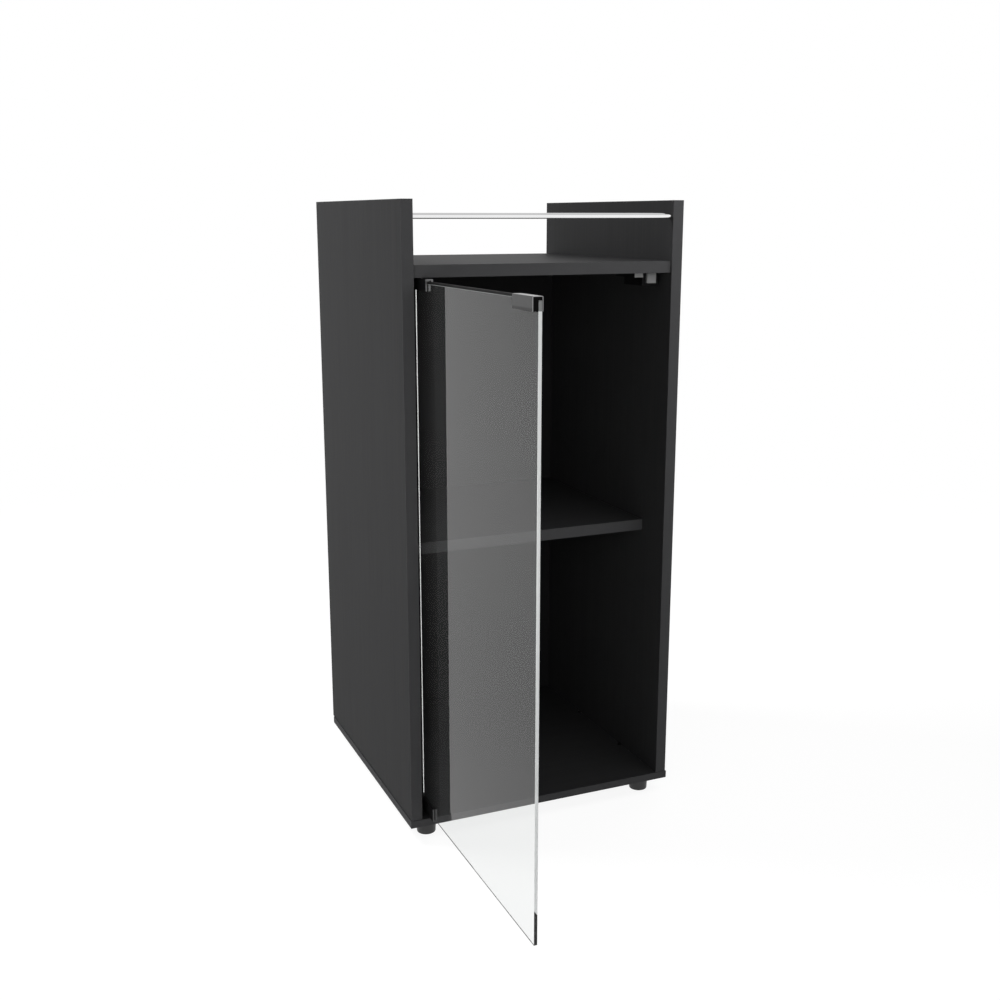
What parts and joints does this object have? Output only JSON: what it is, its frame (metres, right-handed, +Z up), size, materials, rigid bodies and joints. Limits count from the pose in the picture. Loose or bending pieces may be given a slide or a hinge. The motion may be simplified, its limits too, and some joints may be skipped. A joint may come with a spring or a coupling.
{
  "type": "low bar cabinet",
  "caption": "Slim free-standing bar cabinet: board carcass on round feet, inner shelf, railed top tray between raised sides, and a frameless glass door on corner pivots with a push latch.",
  "frame": {"origin": "on the floor, midway between the side panels and midway between their front and rear edges", "axes": "+X to the right seen from the front, the front faces -Y, +Z up"},
  "size_m": [0.383, 0.697, 0.82],
  "materials": {
    "black_board": "black foil with a fine upright grain, satin",
    "black_edging": "black edging strip, satin",
    "back_board": "black painted hardboard, matte",
    "bright_rail": "bright polished metal rail",
    "foot_plastic": "black moulded plastic",
    "zinc_fixings": "zinc plated",
    "beech_dowel": "raw beech",
    "door_glass": "clear float glass, its free and upper edges ground to a pale satin",
    "clamp_black": "black powder coat",
    "clamp_liner": "black rubber",
    "bright_steel": "bright steel",
    "bush_nylon": "black nylon",
    "strike_black": "steel sheet with a glossy black coat",
    "latch_plastic": "black moulded plastic",
    "latch_grey": "mid grey paint on the front of the black bracket",
    "plunger_plastic": "grey moulded plastic",
    "magnet_grey": "grey coated magnet"
  },
  "bodies": {
    "cabinet": {"left_side_panel": "black_board", "right_side_panel": "black_board", "left_panel_edging": "black_edging", "right_panel_edging": "black_edging", "top_board": "black_board", "top_board_edging": "black_edging", "shelf": "black_board", "shelf_edging": "black_edging", "base_board": "black_board", "base_board_edging": "black_edging", "back_panel": "back_board", "gallery_rail": "bright_rail", "foot_front_left": "foot_plastic", "foot_front_right": "foot_plastic", "foot_back_left": "foot_plastic", "foot_back_right": "foot_plastic", "foot_screws": "zinc_fixings", "top_cam_locks": "zinc_fixings", "top_cam_bolts": "zinc_fixings", "top_dowels": "beech_dowel", "shelf_cam_locks": "zinc_fixings", "shelf_cam_bolts": "zinc_fixings", "shelf_dowels": "beech_dowel", "base_screws": "zinc_fixings", "base_dowels": "beech_dowel", "corner_buttons": "latch_plastic", "top_pivot_bush": "bush_nylon", "bottom_pivot_bush": "bush_nylon", "latch_housing": "latch_plastic", "latch_bracket": "latch_grey", "latch_screws": "zinc_fixings"},
    "door": {"glass_door": "door_glass", "door_seal": "clamp_liner", "top_pivot_clamp": "clamp_black", "bottom_pivot_clamp": "clamp_black", "top_clamp_liner": "clamp_liner", "bottom_clamp_liner": "clamp_liner", "clamp_screws": "clamp_black", "top_pivot_pin": "bright_steel", "bottom_pivot_pin": "bright_steel", "strike_clip": "strike_black", "strike_pad": "clamp_liner"},
    "latch": {"latch_plunger": "plunger_plastic", "latch_magnet": "magnet_grey", "latch_spring": "bright_steel"}
  },
  "joints": [
    {"name": "door_pivot", "type": "hinge", "parent": "cabinet", "child": "door", "pos_m": [-0.1605, -0.1735, 0], "axis": [0, 0, 1], "range_deg": [-25.3, 89.7]},
    {"name": "latch_push", "type": "slide", "parent": "cabinet", "child": "latch", "axis": [0, 1, 0], "range_m": [0, 0.003], "stiffness_N_per_m": 400, "springref_m": -0.002}
  ]
}
